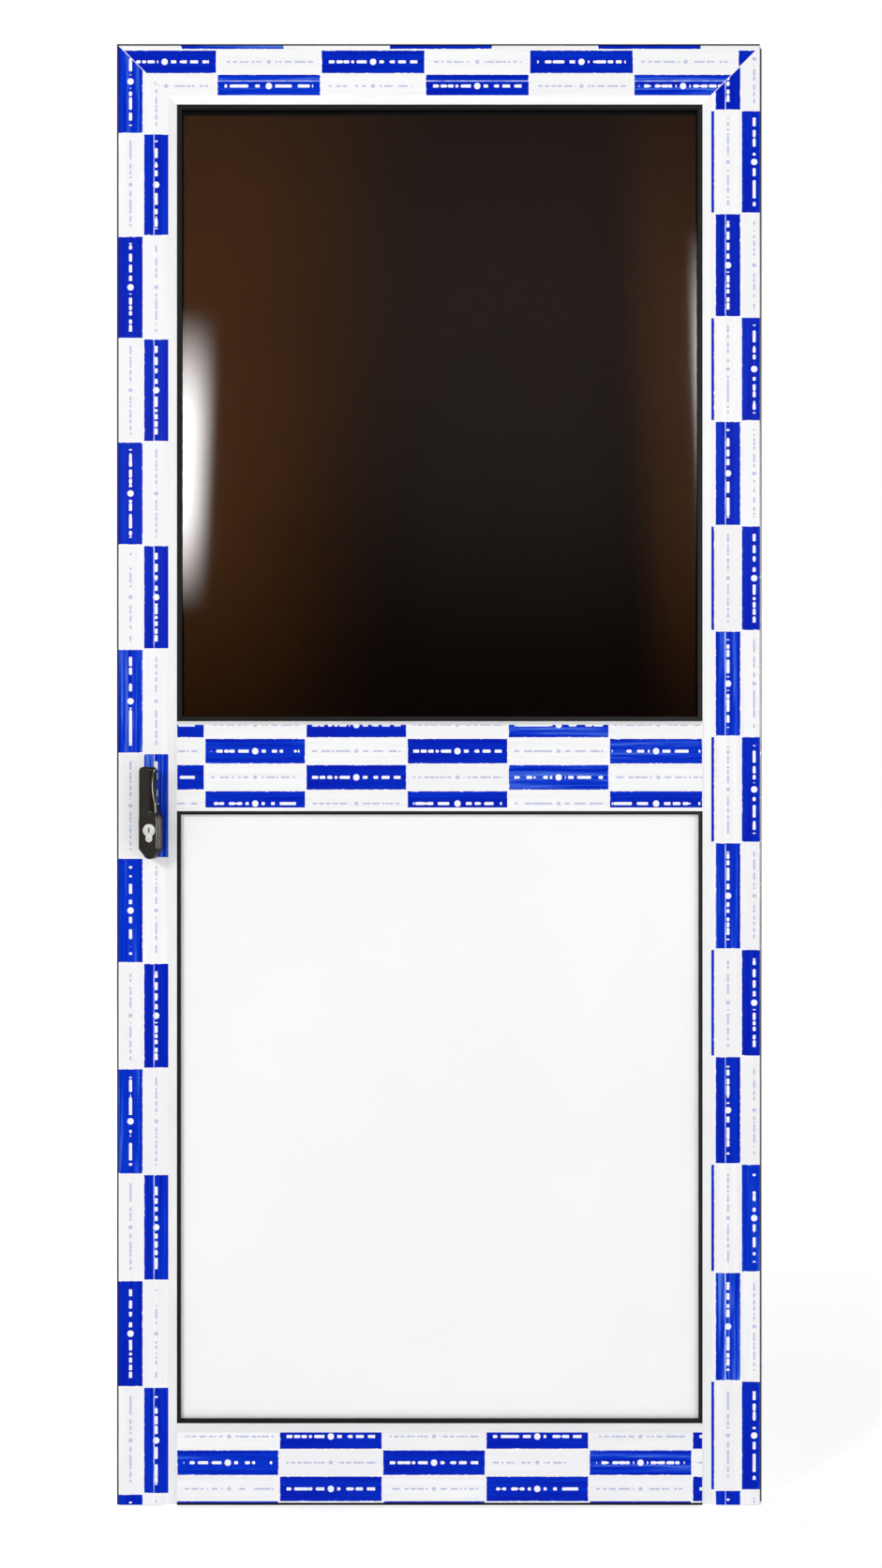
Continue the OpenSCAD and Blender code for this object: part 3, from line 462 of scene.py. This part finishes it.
def makeWrap(profile, upright, mitre, draws):  # mitre lists the corner and the way out of each mitred end
    low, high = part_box(profile + "_film")
    filmLow, filmHigh = (low.x, high.x) if upright else (low.z, high.z)
    blocks = printedBlocks(profile + "_print")
    if profile == "bottom_rail":  # slivers of the next row along the bottom edge
        spans = min(rowsOf(blocks, upright))[2]
        starts = [low.x] + [s[1] + wrap["gap"] for s in spans]
        ends = [s[0] - wrap["gap"] for s in spans] + [high.x]
        blocks += [(start, end, low.z, low.z + wrap["sliver"]) for start, end in zip(starts, ends)
                   if end - start > wrap["cell"]]
    rows = rowsOf(blocks, upright)

    def lengthwise(co):  # place along and across the profile
        return (co.z, co.x) if upright else (co.x, co.z)

    axisX, axisZ = Vector((1, 0, 0)), Vector((0, 0, 1))
    bm = layGrid(low, high)
    if mitre:
        foldRim(bm, axisX * math.copysign(1, low.x) if upright else axisZ)
    for corner, direction in mitre:
        slope = Vector(direction).normalized()
        cut(bm, Vector(corner) - slope * wrap["mitreGap"], slope, True)
    for x in sorted({round(v, 6) for box in blocks for v in box[:2]}):
        cut(bm, axisX * x, axisX)
    for z in sorted({round(v, 6) for box in blocks for v in box[2:]}):
        cut(bm, axisZ * z, axisZ)
    lineAt = None
    if mitre:  # only the outer profiles have the fine line
        lineAxis = axisX if upright else axisZ
        lineAt = (lipEdge if upright else lipTop) - wrap["lineFromEdge"]
        if upright:
            lineAt = math.copysign(lineAt, low.x)
        for side in (-1, 1):
            cut(bm, lineAxis * (lineAt + side * wrap["line"]), lineAxis)

    # each face gets its material, its block's tone and its place in that block
    tones = {}
    full = max(r[1] - r[0] for r in rows)
    place = bm.loops.layers.uv.new("block")
    tone = bm.faces.layers.float.new("tone")
    halfAlong = bm.faces.layers.float.new("halfAlong")
    halfAcross = bm.faces.layers.float.new("halfAcross")
    for face in bm.faces:
        along, across = lengthwise(face.calc_center_median())
        across = min(max(across, filmLow + wrap["edgeInset"]), filmHigh - wrap["edgeInset"])
        row = next((r for r in rows if r[0] <= across <= r[1]), None)
        centre = (1.0, 1.0)  # far from any mark
        key = ("gap", 0)
        if row:
            rowLow, rowHigh, spans = row
            atLow = rowLow - filmLow < wrap["atEdge"]
            atHigh = filmHigh - rowHigh < wrap["atEdge"]
            rowMiddle = rowHigh - full / 2 if atLow else rowLow + full / 2
            inside = next((s for s in spans if s[0] <= along <= s[1]), None)
            usual = sorted(s[1] - s[0] for s in spans)[len(spans) // 2]
            if inside:
                start, end = inside
                if end - start < usual * wrap["cutShort"]:  # cut off at an end of the film
                    start, end = (end - usual, end) if inside == spans[0] else (start, start + usual)
                face.material_index = 1
                key = ("blue", round(start, 3), round(rowLow, 3))
            else:
                start = max((s[1] for s in spans if s[1] < along), default=None)
                end = min((s[0] for s in spans if s[0] > along), default=None)
                if start is None:
                    start = end - usual
                if end is None:
                    end = start + usual
                key = ("white", round(start, 3), round(rowLow, 3))
            centre = ((start + end) / 2, rowMiddle)
            face[halfAlong] = (end - start) / 2
            trimmed = atLow if across < rowMiddle else atHigh  # no nicks where the film itself ends
            face[halfAcross] = 1.0 if trimmed else full / 2
        if key not in tones:
            tones[key] = draws.random() ** 2
        face[tone] = tones[key]
        if face.material_index == 1 and lineAt is not None and abs(across - lineAt) < wrap["line"]:
            face.material_index = 2
        for loop in face.loops:
            u, v = lengthwise(loop.vert.co)
            loop[place].uv = (u - centre[0], v - centre[1])

    # wrinkles drawn out along the profile, never into it
    for vert in bm.verts:
        along, across = lengthwise(vert.co)
        spot = Vector((along * wrap["rippleAlong"], across * wrap["rippleAcross"], wrap["seed"]))
        wave = noise.noise(spot)
        fromEdge = min(across - filmLow, filmHigh - across)
        calm = min(1.0, max(0.0, fromEdge / wrap["calmEdge"]))
        vert.co.y -= wrap["ripple"] * max(0.0, wave) * calm
    raised = bmesh.ops.extrude_face_region(bm, geom=bm.faces[:], use_keep_orig=True)["geom"]
    bmesh.ops.translate(bm, verts=[g for g in raised if isinstance(g, bmesh.types.BMVert)],
                        vec=(0, -wrap["thick"], 0))
    bmesh.ops.recalc_face_normals(bm, faces=bm.faces)
    for edge in bm.edges:
        edge.smooth = edge.calc_face_angle(0.0) < wrap["sharp"]
    first, *others = profile.split("_")
    name = first + "".join(word.capitalize() for word in others) + "Wrap"
    piece = addPiece(name, bm, [filmWhite, filmBlue, filmLine], True)
    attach(piece, "leaf")
    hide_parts(profile + "_film", profile + "_print")


wrapDraws = random.Random(wrap["seed"])
leftCorner = (-lipEdge, 0, lipTop)
rightCorner = (lipEdge, 0, lipTop)
makeWrap("lock_stile", True, [(leftCorner, (1, 0, 1))], wrapDraws)
makeWrap("hinge_stile", True, [(rightCorner, (-1, 0, 1))], wrapDraws)
makeWrap("top_rail", False, [(leftCorner, (-1, 0, -1)), (rightCorner, (1, 0, -1))], wrapDraws)
makeWrap("middle_rail", False, [], wrapDraws)
makeWrap("bottom_rail", False, [], wrapDraws)
print("film laid on the five profiles")


# cast pulls with softened edges

pull = {
    "voxel": 0.7 * mm,
    "soften": 10,  # rounds of softening over the whole casting
    "softenBy": 0.5,
    "scoopX": 14 * mm,  # where the scooped side of the grip starts, from the pull's left and foot
    "scoopZ": 62 * mm,
    "scoopSoften": 60,
    "wornOver": 5 * mm,  # how softly the polished part begins
}


def makePull(node, name):
    bm = bmesh.new()
    bm.from_mesh(nodes[node].data)
    bmesh.ops.remove_doubles(bm, verts=bm.verts, dist=weld)
    piece = addPiece(name, bm, [finish["pull"]], True)
    remesh = piece.modifiers.new("remesh", "REMESH")
    remesh.mode = "VOXEL"
    remesh.voxel_size = pull["voxel"]
    soften = piece.modifiers.new("soften", "SMOOTH")
    soften.factor = pull["softenBy"]
    soften.iterations = pull["soften"]
    graph = bpy.context.evaluated_depsgraph_get()
    cast = bpy.data.meshes.new_from_object(piece.evaluated_get(graph))
    piece.modifiers.clear()

    low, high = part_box(node)
    middle = (low.y + high.y) / 2
    scoopLeft = low.x + pull["scoopX"]
    scoopFoot = low.z + pull["scoopZ"]
    bm = bmesh.new()
    bm.from_mesh(cast)
    worn = bm.verts.layers.float.new("worn")
    scooped = [v for v in bm.verts if v.co.x > scoopLeft and v.co.z > scoopFoot
               and (v.co.y - middle) * middle > 0]
    for turn in range(pull["scoopSoften"]):  # the scoop flows into the front without an edge
        bmesh.ops.smooth_vert(bm, verts=scooped, factor=pull["softenBy"], use_axis_x=True, use_axis_y=True)
    for vert in scooped:
        inside = min(vert.co.x - scoopLeft, vert.co.z - scoopFoot)
        vert[worn] = min(1.0, inside / pull["wornOver"])
    bm.to_mesh(cast)
    bm.free()
    piece.data = cast
    for face in cast.polygons:
        face.use_smooth = True
    cast.materials.clear()
    cast.materials.append(finish["pull"])
    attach(piece, "leaf")
    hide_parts(node)


makePull("outer_pull", "outerPull")
makePull("inner_pull", "innerPull")
print("pulls cast")


# screw heads and caps

screw = {
    "radius": 3 * mm,
    "height": 0.9 * mm,
    "taper": 0.86,
    "rim": 0.4,  # ring round the recess, as a share of the radius
    "slope": 0.06,
    "recess": 0.5 * mm,
    "sides": 24,
    "inset": 7 * mm,  # from the end of a plate or the edge of a hinge wing
    "hingeStep": 0.25,
    "hingeEnd": 0.05,
    "wingThick": 1.5 * mm,
    "sillInset": 4 * mm,
    "sillSpots": (-0.3, 0.0, 0.3),
}
cap = {"radius": 6 * mm, "heights": (0.25, 0.85, 1.25, 1.85), "behind": 7 * mm}
holeShade = {"radius": 1.1 * mm, "sunk": 0.8 * mm, "above": 4.5 * mm}


def makeHeads(name, spots, facing, radius, material, body):
    bm = bmesh.new()
    turn = Vector((0, 0, 1)).rotation_difference(Vector(facing)).to_matrix().to_4x4()
    for spot in spots:
        start = len(bm.verts)
        made = bmesh.ops.create_cone(bm, cap_ends=True, segments=screw["sides"], radius1=radius,
                                     radius2=radius * screw["taper"], depth=screw["height"])
        top = max((f for v in made["verts"] for f in v.link_faces), key=lambda f: f.calc_center_median().z)
        bmesh.ops.inset_region(bm, faces=[top], thickness=radius * screw["rim"])
        bmesh.ops.inset_region(bm, faces=[top], thickness=radius * screw["slope"], depth=-screw["recess"])
        bmesh.ops.transform(bm, verts=bm.verts[:][start:], matrix=Matrix.Translation(Vector(spot)) @ turn
                            @ Matrix.Translation((0, 0, screw["height"] / 2)))
    piece = addPiece(name, bm, [material])
    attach(piece, body)


def hingeSpots(node, y):  # evenly spaced along a hinge wing
    low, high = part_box(node)
    run = high.z - low.z - 2 * screw["hingeEnd"]
    count = int(run / screw["hingeStep"]) + 1
    step = run / (count - 1)
    return [(low.x + screw["inset"], y, low.z + screw["hingeEnd"] + i * step) for i in range(count)]


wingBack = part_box("hinge_leaf_wing")[0].y + screw["wingThick"]
makeHeads("hingeLeafScrews", hingeSpots("hinge_leaf_wing", wingBack),
          (0, 1, 0), screw["radius"], finish["hinge"], "leaf")
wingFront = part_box("hinge_jamb")[0].y - screw["wingThick"]
makeHeads("hingeFrameScrews", hingeSpots("hinge_frame_wing", wingFront),
          (0, -1, 0), screw["radius"], finish["hinge"], "frame")

plateLow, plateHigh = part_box("lock_faceplate")
plugLow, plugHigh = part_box("outer_plug")
plateHeights = (plateLow.z + screw["inset"], (plugLow.z + plugHigh.z) / 2, plateHigh.z - screw["inset"])
makeHeads("faceplateScrews", [(plateLow.x, 0, z) for z in plateHeights],
          (-1, 0, 0), screw["radius"], finish["zinc"], "leaf")
strikeLow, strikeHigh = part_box("strike_plate")
strikeHeights = (strikeLow.z + screw["inset"], strikeHigh.z - screw["inset"])
makeHeads("strikeScrews", [(strikeHigh.x, 0, z) for z in strikeHeights],
          (1, 0, 0), screw["radius"], finish["zinc"], "frame")
sillLow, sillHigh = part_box("threshold")
makeHeads("thresholdScrews", [(x, sillLow.y + screw["sillInset"], sillHigh.z) for x in screw["sillSpots"]],
          (0, 0, 1), screw["radius"], finish["zinc"], "frame")

makeHeads("lockJambCaps", [(strikeLow.x, cap["behind"], z) for z in cap["heights"]],
          (1, 0, 0), cap["radius"], finish["coating"], "frame")
makeHeads("hingeJambCaps", [(-strikeLow.x, cap["behind"], z) for z in cap["heights"]],
          (-1, 0, 0), cap["radius"], finish["coating"], "frame")
headLow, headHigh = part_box("cylinder_body")
# a small dark disc in the cylinder's face: painted shade of its pin hole
holeShadeSpot = ((headLow.x + headHigh.x) / 2, headLow.y + holeShade["sunk"], headLow.z + holeShade["above"])
makeHeads("cylinderHoleShade", [holeShadeSpot], (0, -1, 0), holeShade["radius"], finish["plastic"], "leaf")


# dark blocks shaped like wards inside the keyways: their black is painted shade for the keyway's depth

wardShade = {
    "deep": 1.1 * mm, "long": 5 * mm, "wide": 2 * mm, "tall": 6.8 * mm,
    "notch": 0.7 * mm, "round": 0.12 * mm,
    "steps": ((-1, 0.55, 0.225), (1, 0.4, -0.3)),  # side, then height and place as shares of tall
}


def makeWardShade(name, plug, front):  # front is the way that the plug faces along y
    low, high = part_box(plug)
    face = low.y if front < 0 else high.y
    bm = bmesh.new()
    for side, share, place in wardShade["steps"]:
        made = bmesh.ops.create_cube(bm, size=1.0)["verts"]
        spot = ((low.x + high.x) / 2 + side * wardShade["notch"] / 2,
                face - front * (wardShade["deep"] + wardShade["long"] / 2),
                (low.z + high.z) / 2 + place * wardShade["tall"])
        size = (wardShade["wide"] - wardShade["notch"], wardShade["long"], wardShade["tall"] * share)
        bmesh.ops.transform(bm, verts=made, matrix=Matrix.Translation(spot) @ Matrix.Diagonal((*size, 1.0)))
        rim = list({e for v in made for e in v.link_edges})
        bmesh.ops.bevel(bm, geom=rim, offset=wardShade["round"], offset_type="OFFSET", segments=2, profile=0.5,
                        affect="EDGES", material=-1)
    # the black plastic paints the shade inside the keyway
    piece = addPiece(name, bm, [finish["plastic"]])
    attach(piece, "key_core")


makeWardShade("outerWardShade", "outer_plug", -1)
makeWardShade("innerWardShade", "inner_plug", 1)
print("screws, caps and wards set")


# floor, light and camera

stage = {
    "size": 120.0, "color": grey(0.9), "rough": 0.7,
    "near": 0.7, "far": 3.2, "nearGlow": 0.52, "farGlow": 0.8,  # it glows more away from the door
}
floorMesh = bmesh.new()
bmesh.ops.create_grid(floorMesh, x_segments=1, y_segments=1, size=stage["size"] / 2)
floorPaint, floorTree, floorShader = startMaterial("paleFloor", stage["color"], stage["rough"])
floorShader.inputs["Emission Color"].default_value = (1.0, 1.0, 1.0, 1.0)
fromDoor = addNode(floorTree, "ShaderNodeVectorMath", operation="LENGTH")
wire(floorTree, objectPlace(floorTree), "Vector", fromDoor, 0)
glow = addNode(floorTree, "ShaderNodeMapRange", {"From Min": stage["near"], "From Max": stage["far"],
                                                 "To Min": stage["nearGlow"], "To Max": stage["farGlow"]})
wire(floorTree, fromDoor, "Value", glow, "Value")
wire(floorTree, glow, "Result", floorShader, "Emission Strength")
floor = addPiece("floor", floorMesh, [floorPaint])

lamps = {  # place, width, height, power
    "key": ((-5.0, -6.5, 4.2), 1.8, 1.8, 288.0),
    "fill": ((2.8, -3.2, 1.3), 2.4, 2.4, 21.0),
    "back": ((-2.6, 3.4, 2.8), 2.4, 2.4, 60.0),
    "stripLeft": ((-0.8, -2.9, 1.98), 0.25, 0.95, 48.0),  # strips are seen only as glare
    "stripRight": ((0.83, -2.9, 2.1), 0.14, 1.2, 34.0),
    "stripGrip": ((2.2, -1.1, 1.25), 1.2, 1.6, 700.0),
    "stripGlow": ((0.22, -2.9, 2.25), 1.5, 2.2, 3.1),
    "cardLeft": ((-0.8, 2.4, 2.1), 1.6, 2.8, 20.0),  # cards are seen only through glass
    "cardRight": ((0.68, 2.4, 2.05), 0.4, 2.2, 3.0),
}
lampAim = (0.0, 0.0, 1.05)
plateau = 0.08  # a strip or card fades from this far out, as a share of its size


def fadeToEdges(tree):  # strength falls smoothly towards a lamp's edges
    spread = addNode(tree, "ShaderNodeNewGeometry")
    parts = addNode(tree, "ShaderNodeSeparateXYZ")
    wire(tree, spread, "Parametric", parts, "Vector")
    both = addNode(tree, "ShaderNodeMath", operation="MULTIPLY")
    for index, axis in enumerate("XY"):
        offset = addNode(tree, "ShaderNodeMath", {1: 0.5}, operation="SUBTRACT")
        wire(tree, parts, axis, offset, 0)
        away = addNode(tree, "ShaderNodeMath", operation="ABSOLUTE")
        wire(tree, offset, "Value", away, 0)
        fade = addNode(tree, "ShaderNodeMapRange", {"From Min": plateau, "From Max": 0.5,
                                                    "To Min": 1.0, "To Max": 0.0},
                       interpolation_type="SMOOTHSTEP")
        wire(tree, away, "Value", fade, "Value")
        wire(tree, fade, "Result", both, index)
    wire(tree, both, "Value", tree.nodes["Emission"], "Strength")


for lampName, (spot, wide, tall, power) in lamps.items():
    lamp = bpy.data.lights.new(lampName, "AREA")
    lamp.shape = "RECTANGLE"
    lamp.size = wide
    lamp.size_y = tall
    lamp.energy = power
    holder = bpy.data.objects.new(lampName, lamp)
    holder.location = spot
    holder.rotation_euler = (Vector(lampAim) - Vector(spot)).to_track_quat("-Z", "Y").to_euler()
    holder.visible_camera = False
    scene.collection.objects.link(holder)
    if lampName.startswith(("strip", "card")):
        holder.visible_diffuse = False
        holder.visible_glossy = lampName.startswith("strip")
        holder.visible_transmission = lampName.startswith("card")
        lamp.use_nodes = True
        fadeToEdges(lamp.node_tree)

dome = {"color": (0.985, 0.985, 1.0, 1.0), "horizon": 0.07, "top": 0.28, "low": 0.04, "high": 0.25}
world = bpy.data.worlds.new("studio")
scene.world = world
world.use_nodes = True
sky = world.node_tree
soft = sky.nodes["Background"]
soft.inputs["Color"].default_value = dome["color"]
direction = addNode(sky, "ShaderNodeTexCoord")
upward = addNode(sky, "ShaderNodeSeparateXYZ")
wire(sky, direction, "Generated", upward, "Vector")
rising = addNode(sky, "ShaderNodeMapRange", {"From Min": dome["low"], "From Max": dome["high"],
                                             "To Min": dome["horizon"], "To Max": dome["top"]},
                 interpolation_type="SMOOTHSTEP")
wire(sky, upward, "Z", rising, "Value")
wire(sky, rising, "Result", soft, "Strength")
backdrop = addNode(sky, "ShaderNodeBackground", {"Color": (1.0, 1.0, 1.0, 1.0), "Strength": 1.0})
rays = addNode(sky, "ShaderNodeLightPath")
blendSky = addNode(sky, "ShaderNodeMixShader")
wire(sky, rays, "Is Camera Ray", blendSky, 0)
wire(sky, soft, "Background", blendSky, 1)
wire(sky, backdrop, "Background", blendSky, 2)
wire(sky, blendSky, "Shader", sky.nodes["World Output"], "Surface")
scene.view_settings.view_transform = "Standard"

camera = {
    "distance": 2.5,
    "centre": (1.8 * mm, 1013 * mm),  # the picture's middle on the door's front
    "tall": 2197 * mm,  # height that the picture covers there
    "sensor": 36.0,
    "near": 0.05,
    "far": 200,
}
lens = bpy.data.cameras.new("camera")
lens.sensor_width = camera["sensor"]
lens.lens = camera["sensor"] * camera["distance"] / camera["tall"]
lens.clip_start = camera["near"]
lens.clip_end = camera["far"]
viewer = bpy.data.objects.new("camera", lens)
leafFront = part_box("lock_stile")[0].y
viewer.location = (camera["centre"][0], leafFront - camera["distance"], camera["centre"][1])
viewer.rotation_euler = (math.pi / 2, 0, 0)
scene.collection.objects.link(viewer)
scene.camera = viewer
print("floor, lights and camera placed")
